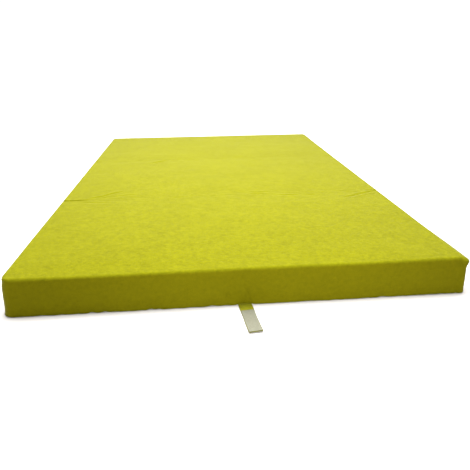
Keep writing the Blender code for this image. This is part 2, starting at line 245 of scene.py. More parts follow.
def pucker(x, y):
    """How far the front seam is drawn in, from 0 to 1."""
    out = np.zeros_like(x)
    for at, amount, width in PUCKERS:
        out = out + amount * np.exp(-(((x - at) / width) ** 2))
    return np.clip(out, 0, 1) * step(-END + 0.02, -END + 0.01, y)


def over_strap(x, y):
    """1 where the seam crosses a strap."""
    out = np.zeros_like(x)
    for side in (-1, 1):
        out = out + np.exp(-(((x + side * STRAP_X) / 0.0225) ** 8)) * step(END - 0.02, END - 0.01, side * y)
    return out


def hem_lift(x, y, s):
    """How far the seam is off the floor, at a point of the outline."""
    lift = 0.0010 * np.clip(fbm(s * 6.8, 2.5, 2, 41) + 0.1, 0, 1) ** 1.2 + 0.0013 * pucker(x, y)
    over = over_strap(x, y)
    return lift * (1 - over) + 0.0015 * over


def gathers(s):
    """Small gathers along the seam, from -1 to 1."""
    return fbm(s * 62, 4.4, 2, 47) * step(-0.25, 0.55, fbm(s * 5.5, 9.9, 2, 51))


# -------------------------------------------------------------- mesh making
def mesh_object(name, verts, polys, smooth=True):
    """polys is a list of arrays, each of one polygon size."""
    mesh = bpy.data.meshes.new(name)
    verts = np.asarray(verts, np.float32)
    polys = [np.asarray(p, np.int32) for p in polys if len(p)]
    sizes = np.concatenate([np.full(len(p), p.shape[1], np.int32) for p in polys])
    corners = np.concatenate([p.ravel() for p in polys])
    used, corners = np.unique(corners, return_inverse=True)
    verts, corners = verts[used], corners.ravel().astype(np.int32)
    mesh.vertices.add(len(verts))
    mesh.vertices.foreach_set("co", verts.ravel())
    mesh.loops.add(len(corners))
    mesh.loops.foreach_set("vertex_index", corners)
    mesh.polygons.add(len(sizes))
    mesh.polygons.foreach_set("loop_start", np.concatenate([[0], np.cumsum(sizes)[:-1]]).astype(np.int32))
    mesh.update(calc_edges=True)
    mesh.validate()
    if smooth:
        mesh.shade_smooth()
    o = bpy.data.objects.new(name, mesh)
    bpy.context.scene.collection.objects.link(o)
    return o


def ring_quads(a, b, closed=True):
    """Quads between two rows of vertex numbers."""
    a, b = np.asarray(a), np.asarray(b)
    n = len(a)
    i = np.arange(n if closed else n - 1)
    j = (i + 1) % n
    return np.stack([a[i], a[j], b[j], b[i]], 1)


def spaced(a, b, step_m, fine=0, fine_a=0.0, fine_b=0.0):
    """Grid lines from a to b, with fine cells of size fine within fine_a of a and fine_b of b."""
    parts = [a]
    if fine_a:
        parts += list(np.linspace(a, a + fine_a, max(2, round(fine_a / fine) + 1))[1:])
    lo, hi = a + fine_a, b - fine_b
    parts += list(np.linspace(lo, hi, max(2, round((hi - lo) / step_m) + 1))[1:])
    if fine_b:
        parts += list(np.linspace(hi, b, max(2, round(fine_b / fine) + 1))[1:])
    return np.array(parts)


def round_corners(X, Y, x1, ya, yb, r_low, r_high):
    """Moves a rectangular grid's corners onto arcs, and returns each point's outward direction."""
    X, Y = X.copy(), Y.copy()
    NX, NY = np.zeros_like(X), np.zeros_like(Y)
    for sx in (-1, 1):
        for sy, r, ye in ((-1, r_low[(sx + 1) // 2], ya), (1, r_high, yb)):
            cx, cy = sx * (x1 - r), ye - sy * r
            u, v = (X - cx) * sx, (Y - cy) * sy
            m = (u > -1e-9) & (v > -1e-9)
            big = np.maximum(u, v)
            small = np.minimum(u, v)
            ang = np.where(big > 1e-9, (math.pi / 4) * small / np.maximum(big, 1e-9), 0)
            c, s = np.cos(ang) * big, np.sin(ang) * big
            nu, nv = np.where(u >= v, c, s), np.where(u >= v, s, c)
            X[m], Y[m] = (cx + sx * nu)[m], (cy + sy * nv)[m]
            rad = np.maximum(np.hypot(nu, nv), 1e-9)
            NX[m], NY[m] = (sx * nu / rad)[m], (sy * nv / rad)[m]
    return X, Y, NX, NY


class Panel:
    def __init__(self, name, low, high, free_low, free_high):
        self.name, self.low, self.high = name, low, high
        self.free_low, self.free_high = free_low, free_high


PANEL = {
    "front": Panel("front", -END, -FOLD, True, False),
    "middle": Panel("middle", -FOLD, FOLD, False, False),
    "rear": Panel("rear", FOLD, END, False, True),
}


def border(nx, ny):
    """The grid's border (i, j), counter-clockwise from its low corner."""
    return (
        [(i, 0) for i in range(nx - 1)]
        + [(nx - 1, j) for j in range(ny - 1)]
        + [(i, ny - 1) for i in range(nx - 1, 0, -1)]
        + [(0, j) for j in range(ny - 1, 0, -1)]
    )


def side_bulge(p, bx, by, nx, ny, z):
    """How far a side stands out past its plane: foam swells the cloth, most about the middle."""
    h = np.clip(z / T, 0, 1)
    free = 1 - fold_facing(p, nx, ny)
    swell = np.sin(np.pi * h) ** 0.8
    b = (0.0024 + 0.0018 * np.clip(nx, 0, 1) + 0.0006 * fbm((bx + by * 1.7) * 4.0, z * 14, 2, 61)) * swell * free
    # It is held in where the strap is sewn on.
    if p.name != "middle":
        side = -1 if p.name == "front" else 1
        b = b * (1 - 0.95 * np.exp(-(((bx + side * 0.0125) / 0.052) ** 4)) * (side * by > END - 0.02))
    # Towards the front corners the sides spread a little at the foot.
    if p.name == "front":
        near = step(-END + 0.26, -END + 0.03, by)
        foot = (1 - h) ** 1.5
        round_top = step(1.0, 0.86, h)
        b = b + near * np.clip(-nx, 0, 1) * (0.0062 * foot - 0.0030 * np.exp(-(((h - 0.93) / 0.10) ** 2)))
        near = step(-END + 0.38, -END + 0.06, by)
        b = b + near * np.clip(nx, 0, 1) * (0.0062 * round_top + 0.0080 * np.exp(-(((h - 0.89) / 0.12) ** 2)) + 0.0052 * foot)
    # The rear right corner is pulled out a little at the top.
    if p.name == "rear":
        b = b + step(END - 0.40, END - 0.04, by) * np.clip(nx, 0, 1) * 0.0055 * step(0.35, 0.85, h)
    return b


def fold_facing(p, nx, ny):
    f = np.zeros_like(ny)
    if not p.free_low:
        f = f + np.clip(-ny, 0, 1) ** 2
    if not p.free_high:
        f = f + np.clip(ny, 0, 1) ** 2
    return f


def panel_skin(p, cell=0.0055):
    x1 = W / 2 - R_FREE
    ya = p.low + (R_FREE if p.free_low else GAP_TOP + R_FOLD)
    yb = p.high - (R_FREE if p.free_high else GAP_TOP + R_FOLD)
    r_low = (CORNER_R - R_FREE, SHARP_R - R_FREE) if p.free_low else (FOLD_R, FOLD_R)
    r_high = SHARP_R - R_FREE if p.free_high else FOLD_R
    xs = spaced(-x1, x1, cell, 0.0035, 0.021, 0.021)
    ys = spaced(ya, yb, cell, 0.0035, 0.021, 0.021)
    nx, ny = len(xs), len(ys)
    X, Y = np.meshgrid(xs, ys, indexing="ij")
    X, Y, NX, NY = round_corners(X, Y, x1, ya, yb, r_low, r_high)
    index = np.arange(nx * ny).reshape(nx, ny)
    ring = border(nx, ny)
    bi = np.array([index[i, j] for i, j in ring])
    bx, by = X.ravel()[bi], Y.ravel()[bi]
    bnx, bny = NX.ravel()[bi], NY.ravel()[bi]
    flat = np.hypot(bnx, bny) < 0.5
    for k, (i, j) in enumerate(ring):
        if flat[k]:
            if j == 0:
                bnx[k], bny[k] = 0, -1
            elif j == ny - 1:
                bnx[k], bny[k] = 0, 1
            else:
                bnx[k], bny[k] = (1 if i else -1), 0
    size = np.hypot(bnx, bny)
    bnx, bny = bnx / size, bny / size
    # Length along the outline, for the seam's gathers.
    step_s = np.hypot(np.diff(bx, append=bx[0]), np.diff(by, append=by[0]))
    s = np.concatenate([[0], np.cumsum(step_s)[:-1]]) + {"front": 0.0, "middle": 7.3, "rear": 15.1}[p.name]

    Z = T + top_height(X, Y)
    verts = [np.stack([X.ravel(), Y.ravel(), Z.ravel()], 1)]
    quads = [
        np.stack(
            [
                index[:-1, :-1].ravel(),
                index[1:, :-1].ravel(),
                index[1:, 1:].ravel(),
                index[:-1, 1:].ravel(),
            ],
            1,
        )
    ]
    ff = fold_facing(p, bnx, bny)
    r = R_FREE + (R_FOLD - R_FREE) * ff
    dz_top = top_height(bx, by)
    rows = []
    for a in np.radians([12, 25, 38, 51, 64, 77, 90]):
        z = T - r * (1 - math.cos(a)) + dz_top * math.cos(a)
        o = r * math.sin(a)
        b = np.maximum(side_bulge(p, bx, by, bnx, bny, z), -0.0010) * math.sin(a) ** 2
        rows.append((o + b, z))
    lift = hem_lift(bx, by, s) * (1 - ff)
    hem = 0.0036 + lift
    g = gathers(s) * (1 - ff)
    drawn = np.clip(pucker(bx, by) + over_strap(bx, by), 0, 1)
    for u in (0.05, 0.11, 0.18, 0.25, 0.32, 0.39, 0.46, 0.53, 0.60, 0.67, 0.74, 0.80, 0.855, 0.90, 0.935, 0.965, 0.985, 1.0):
        z = (T - r) * (1 - u) + hem * u
        o = r + side_bulge(p, bx, by, bnx, bny, z)
        o = o - ff * (GAP_BASE - GAP_TOP) * (T - z) / T
        near = np.exp(-(z - hem) / 0.012)
        # The foot of the cloth stands out loosely, except where the seam is drawn in.
        loose = (0.0026 + 0.0013 * g) * np.exp(-(z - hem) / 0.011) * (1 - drawn) * (1 - ff)
        o = o + loose - 0.0006 * near * drawn
        if p.free_low:
            on_front = np.clip(-bny, 0, 1) ** 4
            for a, b2, depth, width in FRONT_WRINKLES:
                o = o + on_front * segment_dip(bx, z, a, b2, depth, width)
        o = np.where(ff < 0.01, np.maximum(o, r - 0.0010), o)
        rows.append((o, z))
    # The seam: the cloth turns under in a small roll and goes back in above the base cloth.
    o1 = rows[-1][0]
    for do, z in ((-0.0012, 0.0028), (-0.0007, 0.0023), (0.0005, 0.0019), (0.0009, 0.0013), (0.0005, 0.0008), (-0.0006, 0.0005), (-0.0022, 0.0006)):
        rows.append((o1 + do * (1 - 0.6 * ff), z + lift))
    inner = r - 0.0036 - ff * (GAP_BASE - GAP_TOP)
    rows.append((inner, 0.0019 + 0.3 * lift))
    rows.append((inner - 0.0060, 0.0029 + 0 * lift))
    base = nx * ny
    n = len(ring)
    last = bi
    for k, (o, z) in enumerate(rows):
        verts.append(np.stack([bx + bnx * o, by + bny * o, z], 1))
        now = base + k * n + np.arange(n)
        quads.append(ring_quads(now, last))
        last = now
    o = mesh_object(p.name + "_cover_skin", np.concatenate(verts), [np.concatenate(quads), last[None, ::-1]])
    return o


# ----------------------------------------------------------------- materials
def principled(name):
    m = bpy.data.materials.new(name)
    m.use_nodes = True
    nt = m.node_tree
    return m, nt, nt.nodes["Principled BSDF"]


def N(nt, kind, **values):
    n = nt.nodes.new(kind)
    for k, v in values.items():
        if k in n.inputs:
            n.inputs[k].default_value = v
        else:
            setattr(n, k, v)
    return n


def noise_node(nt, vec, scale, detail=2.0, rough=0.5, lac=2.0, dist=0.0):
    n = nt.nodes.new("ShaderNodeTexNoise")
    n.inputs["Scale"].default_value = scale
    n.inputs["Detail"].default_value = detail
    n.inputs["Roughness"].default_value = rough
    n.inputs["Lacunarity"].default_value = lac
    n.inputs["Distortion"].default_value = dist
    nt.links.new(vec, n.inputs["Vector"])
    return n


def ramp(nt, fac, stops):
    r = nt.nodes.new("ShaderNodeValToRGB")
    e = r.color_ramp.elements
    while len(e) < len(stops):
        e.new(0.5)
    for el, (pos, col) in zip(e, stops):
        el.position = pos
        el.color = (*col, 1)
    nt.links.new(fac, r.inputs["Fac"])
    return r


def mix_colour(nt, fac, a, b, mode="MIX"):
    m = nt.nodes.new("ShaderNodeMix")
    m.data_type = "RGBA"
    m.blend_type = mode
    for sock, v in ((m.inputs[0], fac), (m.inputs[6], a), (m.inputs[7], b)):
        if hasattr(v, "is_output"):
            nt.links.new(v, sock)
        elif isinstance(v, (int, float)):
            sock.default_value = v
        else:
            sock.default_value = (*v, 1)
    return m.outputs[2]


def maths(nt, op, a, b=None, c=None):
    m = nt.nodes.new("ShaderNodeMath")
    m.operation = op
    for sock, v in zip(m.inputs, (a, b, c)):
        if v is None:
            continue
        if hasattr(v, "is_output"):
            nt.links.new(v, sock)
        else:
            sock.default_value = v
    return m.outputs[0]


def bump(nt, height, distance, strength=1.0, normal=None):
    b = nt.nodes.new("ShaderNodeBump")
    b.inputs["Distance"].default_value = distance
    b.inputs["Strength"].default_value = strength
    nt.links.new(height, b.inputs["Height"])
    if normal is not None:
        nt.links.new(normal, b.inputs["Normal"])
    return b.outputs["Normal"]


def velour(name, base, contrast=0.11, sheen=0.05):
    """Short brushed pile: mottled where the pile lies in different directions, with a fine grain. Upright faces get
    painted shade: a deeper, warmer tint and weaker mottle.
    """
    m, nt, b = principled(name)
    co = nt.nodes.new("ShaderNodeTexCoord").outputs["Object"]
    big = noise_node(nt, co, 6.0, 3.0, 0.55, 2.1, 0.3)
    streak = noise_node(nt, co, 42.0, 5.0, 0.72, 2.1, 0.6)
    mid = noise_node(nt, co, 95.0, 4.0, 0.70, 2.1, 0.5)
    pile = noise_node(nt, co, 420.0, 3.0, 0.65)
    fine = noise_node(nt, co, 1300.0, 2.0, 0.6)
    # Brushed patches, then the grain. The patches are random tone, at full strength on upward faces and half on
    # upright ones; the stronger mottle on top is painted shade, standing in for the pile's shading under grazing
    # light.
    patch = maths(nt, "MULTIPLY_ADD", streak.outputs["Fac"], 0.34, maths(nt, "MULTIPLY", mid.outputs["Fac"], 0.56))
    patch = maths(nt, "MULTIPLY_ADD", big.outputs["Fac"], 0.10, patch)
    facing = nt.nodes.new("ShaderNodeSeparateXYZ")
    nt.links.new(nt.nodes.new("ShaderNodeTexCoord").outputs["Normal"], facing.inputs[0])
    shade_by_facing = maths(nt, "ABSOLUTE", facing.outputs["Z"])
    strength = maths(nt, "MULTIPLY_ADD", shade_by_facing, 0.50, 0.50)
    patch = maths(nt, "MULTIPLY_ADD", maths(nt, "SUBTRACT", patch, 0.5), strength, 0.5)
    dark = tuple(c * (1 - contrast) for c in base)
    light = tuple(c * (1 + contrast) for c in base)
    col = ramp(nt, patch, [(0.38, dark), (0.50, base), (0.62, light)]).outputs["Color"]
    grain = ramp(nt, pile.outputs["Fac"], [(0.30, (0.88, 0.88, 0.84)), (0.70, (1.0, 1.0, 1.0))]).outputs["Color"]
    col = mix_colour(nt, 1.0, col, grain, "MULTIPLY")
    # Painted shade: upright faces are tinted deeper and warmer, the hue the cover's sides take on in their shade.
    side_shade_tint = ramp(nt, shade_by_facing, [(0.15, (1.0, 0.925, 0.80)), (0.75, (1.0, 1.0, 1.0))]).outputs["Color"]
    col = mix_colour(nt, 1.0, col, side_shade_tint, "MULTIPLY")
    nt.links.new(col, b.inputs["Base Color"])
    h = maths(nt, "MULTIPLY_ADD", fine.outputs["Fac"], 0.5, maths(nt, "MULTIPLY", pile.outputs["Fac"], 0.9))
    n1 = bump(nt, h, 0.0006, 0.7)
    n2 = bump(nt, mid.outputs["Fac"], 0.0020, 0.5, n1)
    nt.links.new(n2, b.inputs["Normal"])
    rough = maths(nt, "MULTIPLY_ADD", mid.outputs["Fac"], 0.12, 0.84)
    nt.links.new(rough, b.inputs["Roughness"])
    b.inputs["Specular IOR Level"].default_value = 0.02
    b.inputs["Sheen Weight"].default_value = sheen
    b.inputs["Sheen Roughness"].default_value = 0.25
    b.inputs["Sheen Tint"].default_value = (1.0, 1.0, 0.60, 1)
    return m


def srgb(r, g, b):
    def lin(c):
        c = c / 255
        return c / 12.92 if c <= 0.04045 else ((c + 0.055) / 1.055) ** 2.4

    return tuple(lin(c) for c in (r, g, b))


LIME = velour("lime_velour", (0.1185, 0.1168, 0.0018), contrast=0.175, sheen=0.31)

# --------------------------------------------------------------- cover skins
made = {}
for p in PANELS:
    o = panel_skin(PANEL[p])
    o.data.materials.append(LIME)
    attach(o, BODY[p])
    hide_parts(p + "_upper_skin")
    made[p + "_cover_skin"] = o


# -------------------------------------------------------------- hinge strips
HALF = 0.0150  # half width of a hinge strip


def hinge_strip(name, y_fold, which):
    x1 = W / 2 - R_FREE
    xs = np.concatenate([
        -x1 - R_FREE * np.sin(np.radians([58, 44, 30, 15])),
        spaced(-x1, x1, 0.0045, 0.0025, 0.03, 0.03),
        x1 + R_FREE * np.sin(np.radians([15, 30, 44, 58])),
    ])
    ts = np.array([-15.0, -13.6, -12.0, -10.0, -8.2, -6.6, -5.2, -4.0, -2.9, -1.9, -0.95, 0, 0.95, 1.9, 2.9, 4.0, 5.2, 6.6, 8.2, 10.0, 12.0, 13.6, 15.0]) / 1000
    X, Tt = np.meshgrid(xs, ts, indexing="ij")
    Y = y_fold + Tt
    over = np.clip(np.abs(X) - x1, 0, None)
    drop = R_FREE - np.sqrt(np.maximum(R_FREE**2 - over**2, 0))
    # Beyond the flat top the strip follows the rounded side edge.
    Z = T + top_height(np.clip(X, -x1, x1), Y) + valley(X, Tt, which) - drop
    edge = step(0.0128, HALF, np.abs(Tt))
    Z = Z + 0.00030 - 0.0009 * edge
    nx, nt_ = X.shape
    top = np.stack([X.ravel(), Y.ravel(), Z.ravel()], 1)
    index = np.arange(nx * nt_).reshape(nx, nt_)
    thick = 0.0011
    low = top.copy()
    low[:, 2] -= thick
    quads = np.stack([index[:-1, :-1].ravel(), index[1:, :-1].ravel(), index[1:, 1:].ravel(), index[:-1, 1:].ravel()], 1)
    off = nx * nt_
    under = quads[:, ::-1] + off
    ring = np.array([index[i, j] for i, j in border(nx, nt_)])
    sides = ring_quads(ring + off, ring)
    o = mesh_object(name, np.concatenate([top, low]), [quads, under, sides])
    o.data.materials.append(LIME)
    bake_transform(o)
    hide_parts(which + "_hinge_strip")
    return o


hinge_strip("front_hinge_fabric", -FOLD, "front")
hinge_strip("rear_hinge_fabric", FOLD, "rear")

# ------------------------------------------------------------ finer materials
def plain_weave(name, base, pitch, contrast=0.22, rough=0.78, depth=0.00025, sheen=0.0, spec=0.02):
    """Two crossing sets of threads, pitch apart, with slubs and uneven dye."""
    m, nt, b = principled(name)
    co = nt.nodes.new("ShaderNodeTexCoord").outputs["Object"]
    waves = []
    for axis in ("X", "Y"):
        w = nt.nodes.new("ShaderNodeTexWave")
        w.bands_direction = axis
        w.inputs["Scale"].default_value = 2 * math.pi / (20 * pitch)
        w.inputs["Distortion"].default_value = 0.6
        w.inputs["Detail"].default_value = 1.0
        w.inputs["Detail Scale"].default_value = 2.0
        nt.links.new(co, w.inputs["Vector"])
        waves.append(w.outputs["Fac"])
    cloth = maths(nt, "MAXIMUM", waves[0], waves[1])
    uneven = noise_node(nt, co, 24.0, 4.0, 0.6)
    slub = noise_node(nt, co, 480.0, 2.0, 0.6)
    tone = maths(nt, "MULTIPLY_ADD", cloth, 0.45, maths(nt, "MULTIPLY", uneven.outputs["Fac"], 0.35))
    tone = maths(nt, "MULTIPLY_ADD", slub.outputs["Fac"], 0.20, tone)
    dark = tuple(c * (1 - contrast) for c in base)
    light = tuple(min(c * (1 + contrast), 0.95) for c in base)
    nt.links.new(ramp(nt, tone, [(0.30, dark), (0.58, base), (0.84, light)]).outputs["Color"], b.inputs["Base Color"])
    height = maths(nt, "MULTIPLY_ADD", slub.outputs["Fac"], 0.35, cloth)
    nt.links.new(bump(nt, height, depth, 0.8), b.inputs["Normal"])
    nt.links.new(maths(nt, "MULTIPLY_ADD", uneven.outputs["Fac"], 0.14, rough - 0.07), b.inputs["Roughness"])
    b.inputs["Specular IOR Level"].default_value = spec
    b.inputs["Sheen Weight"].default_value = sheen
    b.inputs["Sheen Roughness"].default_value = 0.5
    return m


def grip_tape(name, base, scale):
    """Touch-and-close tape: a dense short pile over a woven ground."""
    m, nt, b = principled(name)
    co = nt.nodes.new("ShaderNodeTexCoord").outputs["Object"]
    pile = noise_node(nt, co, scale, 3.0, 0.7)
    clump = noise_node(nt, co, scale * 0.16, 3.0, 0.6)
    tone = maths(nt, "MULTIPLY_ADD", pile.outputs["Fac"], 0.6, maths(nt, "MULTIPLY", clump.outputs["Fac"], 0.4))
    dark = tuple(c * 0.86 for c in base)
    light = tuple(c * 1.10 for c in base)
    nt.links.new(ramp(nt, tone, [(0.36, dark), (0.52, base), (0.66, light)]).outputs["Color"], b.inputs["Base Color"])
    nt.links.new(bump(nt, pile.outputs["Fac"], 0.0004, 0.8), b.inputs["Normal"])
    nt.links.new(maths(nt, "MULTIPLY_ADD", clump.outputs["Fac"], 0.2, 0.60), b.inputs["Roughness"])
    b.inputs["Specular IOR Level"].default_value = 0.04
    b.inputs["Sheen Weight"].default_value = 0.02
    b.inputs["Sheen Roughness"].default_value = 0.4
    return m


def foam_look(name, base):
    """Open cell foam: a dense field of small cells with a few larger ones."""
    m, nt, b = principled(name)
    co = nt.nodes.new("ShaderNodeTexCoord").outputs["Object"]
    cells = nt.nodes.new("ShaderNodeTexVoronoi")
    cells.inputs["Scale"].default_value = 620.0
    nt.links.new(co, cells.inputs["Vector"])
    big = nt.nodes.new("ShaderNodeTexVoronoi")
    big.inputs["Scale"].default_value = 150.0
    nt.links.new(co, big.inputs["Vector"])
    depth = maths(nt, "MULTIPLY_ADD", cells.outputs["Distance"], 0.7, maths(nt, "MULTIPLY", big.outputs["Distance"], 0.3))
    # Painted shade: the colour darkens towards the bottom of each cell, following the same depth as the bump.
    tone = ramp(nt, depth, [(0.05, tuple(c * 0.62 for c in base)), (0.28, tuple(c * 0.9 for c in base)), (0.60, base)]).outputs["Color"]
    nt.links.new(tone, b.inputs["Base Color"])
    nt.links.new(bump(nt, depth, 0.0010, 0.9), b.inputs["Normal"])
    nt.links.new(maths(nt, "MULTIPLY_ADD", depth, 0.2, 0.78), b.inputs["Roughness"])
    b.inputs["Specular IOR Level"].default_value = 0.15
    return m


def film_look(name, base):
    """Thin plastic film, creased and slightly cloudy."""
    m, nt, b = principled(name)
    co = nt.nodes.new("ShaderNodeTexCoord").outputs["Object"]
    crease = noise_node(nt, co, 14.0, 5.0, 0.65, 2.2, 1.6)
    haze = noise_node(nt, co, 60.0, 3.0, 0.5)
    # Painted shade: the film is darker in its crease hollows, following the same noise as the bump.
    nt.links.new(ramp(nt, crease.outputs["Fac"], [(0.3, tuple(c * 0.86 for c in base)), (0.7, base)]).outputs["Color"], b.inputs["Base Color"])
    nt.links.new(bump(nt, crease.outputs["Fac"], 0.004, 0.7), b.inputs["Normal"])
    nt.links.new(maths(nt, "MULTIPLY_ADD", haze.outputs["Fac"], 0.25, 0.16), b.inputs["Roughness"])
    b.inputs["Coat Weight"].default_value = 0.2
    b.inputs["Coat Roughness"].default_value = 0.2
    return m


def metal_look(name, base, rough, spangle, scale):
    """Metal with grain, scuffs and uneven tarnish."""
    m, nt, b = principled(name)
    co = nt.nodes.new("ShaderNodeTexCoord").outputs["Object"]
    grains = nt.nodes.new("ShaderNodeTexVoronoi")
    grains.inputs["Scale"].default_value = scale
    nt.links.new(co, grains.inputs["Vector"])
    hue = nt.nodes.new("ShaderNodeSeparateColor")
    nt.links.new(grains.outputs["Color"], hue.inputs[0])
    scuff = noise_node(nt, co, scale * 3.0, 5.0, 0.7, 2.3, 0.8)
    tone = maths(nt, "MULTIPLY_ADD", hue.outputs[0], spangle, maths(nt, "MULTIPLY", scuff.outputs["Fac"], 1 - spangle))
    nt.links.new(ramp(nt, tone, [(0.25, tuple(c * 0.72 for c in base)), (0.75, base)]).outputs["Color"], b.inputs["Base Color"])
    nt.links.new(maths(nt, "MULTIPLY_ADD", tone, 0.25, rough - 0.1), b.inputs["Roughness"])
    nt.links.new(bump(nt, scuff.outputs["Fac"], 0.0001, 0.5), b.inputs["Normal"])
    b.inputs["Metallic"].default_value = 1.0
    return m


BASE_CLOTH = plain_weave("base_cloth", (0.046, 0.0435, 0.0045), 0.0011, contrast=0.30, depth=0.0004)
# Painted light: the strap's velour is a lighter, paler copy of the cover's lime velour, lifting its root where it lies
# in the cover's shade.
STRAP_VELOUR_PAINTED_LIGHT = velour("strap_velour_painted_light", (0.148, 0.146, 0.0055), contrast=0.16, sheen=0.23)
HOOK = grip_tape("hook_tape_nylon", (0.149, 0.147, 0.107), 900.0)
LOOP = grip_tape("loop_tape_nylon", (0.152, 0.150, 0.109), 520.0)
TAPE_THREAD = plain_weave("tape_thread", (0.078, 0.078, 0.044), 0.0006, contrast=0.15)
SELVEDGE = plain_weave("tape_selvedge", (0.070, 0.071, 0.038), 0.0007, contrast=0.20)
THREAD = plain_weave("hem_thread", (0.100, 0.097, 0.006), 0.0006, contrast=0.15)
ZIP_TAPE = plain_weave("zip_tape_weave", (0.080, 0.078, 0.006), 0.0008, contrast=0.25)
ZIP_COIL = grip_tape("zip_coil_nylon", (0.100, 0.097, 0.008), 1500.0)
EYELET = metal_look("eyelet_metal", (0.085, 0.083, 0.075), 0.42, 0.2, 240.0)
SLIDER = metal_look("slider_die_cast", (0.13, 0.127, 0.118), 0.38, 0.2, 300.0)
STEEL = metal_look("galvanised_sheet", (0.20, 0.207, 0.215), 0.40, 0.75, 55.0)
FOAM = foam_look("core_foam", (0.24, 0.24, 0.225))
FILM = film_look("wrap_film", (0.15, 0.165, 0.18))


# -------------------------------------------------------------- small shapes
def closed_sweep(loops):
    """(m, n, 3) closed loops to verts and quads, with an end face on each end."""
    m, n = loops.shape[:2]
    index = np.arange(m * n).reshape(m, n)
    quads = [ring_quads(index[k], index[k + 1]) for k in range(m - 1)]
    return loops.reshape(-1, 3), np.concatenate(quads), [index[0][::-1][None], index[-1][None]]


def strands(paths, radius, sides=4):
    """Many short thin strands at once. paths is (count, rings, 3), radius is (rings,)."""
    c, m = paths.shape[:2]
    d = np.gradient(paths, axis=1)
    d /= np.maximum(np.linalg.norm(d, axis=2, keepdims=True), 1e-12)
    ref = np.where(np.abs(d[:, :, 2:3]) > 0.9, [[[1.0, 0, 0]]], [[[0, 0, 1.0]]])
    ref = np.broadcast_to(ref[:, m // 2 : m // 2 + 1], d.shape)
    a = np.cross(d, ref)
    a /= np.maximum(np.linalg.norm(a, axis=2, keepdims=True), 1e-12)
    b = np.cross(d, a)
    ang = np.arange(sides) * 2 * math.pi / sides + math.pi / sides
    ca, sa = np.cos(ang)[None, None, :, None], np.sin(ang)[None, None, :, None]
    r = np.asarray(radius, float)[None, :, None, None]
    v = paths[:, :, None] + r * (a[:, :, None] * ca + b[:, :, None] * sa)
    index = np.arange(c * m * sides).reshape(c, m, sides)
    i, j = np.arange(sides), (np.arange(sides) + 1) % sides
    lo, hi = index[:, :-1], index[:, 1:]
    quads = np.stack([lo[..., i], lo[..., j], hi[..., j], hi[..., i]], -1).reshape(-1, 4)
    caps = [index[:, 0, ::-1], index[:, -1]]
    return v.reshape(-1, 3), quads, caps


def stitches(path, normal, pitch=0.0032, length=0.0024, r=0.00028, closed=False):
    """Thread stitches along a path, each a short bead that dips in at both ends."""
    path = np.asarray(path, float)
    if closed:
        path = np.concatenate([path, path[:1]])
    seg = np.linalg.norm(np.diff(path, axis=0), axis=1)
    dist = np.concatenate([[0], np.cumsum(seg)])
    count = max(1, int(dist[-1] / pitch))
    mids = (np.arange(count) + 0.5) * dist[-1] / count
    t = np.array([-0.5, -0.3, 0, 0.3, 0.5]) * length
    at = mids[:, None] + t[None]
    pts = np.stack([np.interp(at, dist, path[:, k]) for k in range(3)], -1)
    pts = pts + np.asarray(normal, float) * (r * np.array([-0.6, 0.3, 0.55, 0.3, -0.6]))[None, :, None]
    return strands(pts, r * np.array([0.55, 0.95, 1.0, 0.95, 0.55]), 5)


def assemble(name, parts, materials, smooth=True):
    """Joins (verts, [polys], material number) parts into one object."""
    verts, polys, mats, off = [], [], [], 0
    for v, groups, mat in parts:
        verts.append(np.asarray(v, float))
        for g in groups:
            g = np.asarray(g)
            if g.ndim == 1:
                g = g[None]
            polys.append(g + off)
            mats.append(np.full(len(g), mat, np.int32))
        off += len(v)
    o = mesh_object(name, np.concatenate(verts), polys, smooth)
    for m in materials:
        o.data.materials.append(m)
    flat = np.concatenate(mats)
    if len(flat) == len(o.data.polygons) and flat.max() > 0:
        o.data.polygons.foreach_set("material_index", flat)
    return o


def face_out(o):
    """Turns every face of a closed mesh outwards."""
    bm = bmesh.new()
    bm.from_mesh(o.data)
    bmesh.ops.recalc_face_normals(bm, faces=bm.faces)
    bm.to_mesh(o.data)
    bm.free()


def crisp(o, degrees=40):
    o.data.set_sharp_from_angle(angle=math.radians(degrees))


# --------------------------------------------------------------- base cloths
HOLE_X, HOLE_R = 0.450, 0.0075


